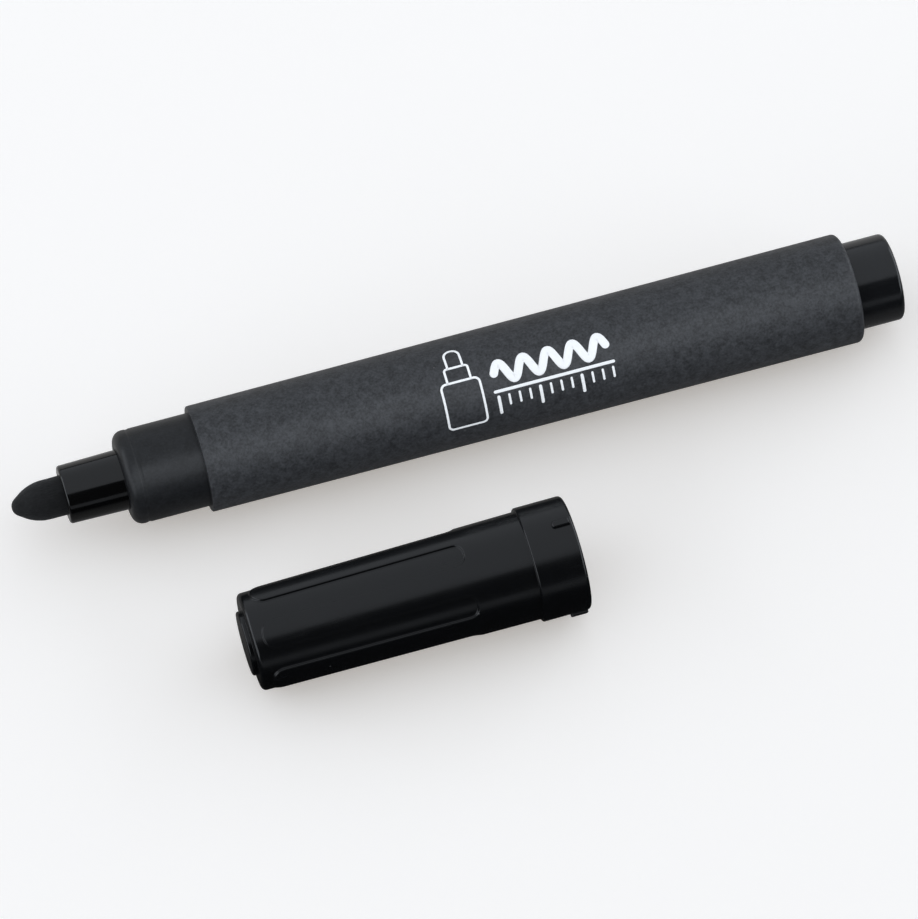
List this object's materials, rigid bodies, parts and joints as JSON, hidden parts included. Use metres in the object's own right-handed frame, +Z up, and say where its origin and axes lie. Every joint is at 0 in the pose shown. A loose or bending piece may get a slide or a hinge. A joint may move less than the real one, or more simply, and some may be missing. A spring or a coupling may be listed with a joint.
{
  "type": "felt tip marker",
  "caption": "Felt tip marker with a bullet nib, matte black barrel and glossy end plug; its fluted glossy cap lies off beside it and slides along the pull-off direction.",
  "frame": {"origin": "on the surface that the marker lies on, under the middle of the box that holds the marker and its cap", "axes": "+X along the marker from its nib to its end plug, +Y from the cap towards the marker, +Z up"},
  "size_m": [0.1184, 0.0414, 0.0156],
  "materials": {
    "barrel": "fine spark-eroded grain, dark charcoal",
    "nib_holder": "glossy black",
    "nib": "ink-soaked felt",
    "reservoir_fibre": "ink-soaked polyester fibre",
    "reservoir_film": "clear film",
    "end_plug": "glossy black",
    "cap": "glossy black",
    "cap_liner": "satin black"
  },
  "bodies": {
    "marker": {"barrel": "barrel", "nib_holder": "nib_holder", "nib": "nib", "reservoir_core": "reservoir_fibre", "reservoir_wrap": "reservoir_film", "end_plug": "end_plug"},
    "cap": {"cap_shell": "cap", "cap_liner": "cap_liner"}
  },
  "joints": [
    {"name": "cap_pull", "type": "slide", "parent": "marker", "child": "cap", "axis": [-1, 0, 0], "range_m": [0, 0.0707]}
  ]
}
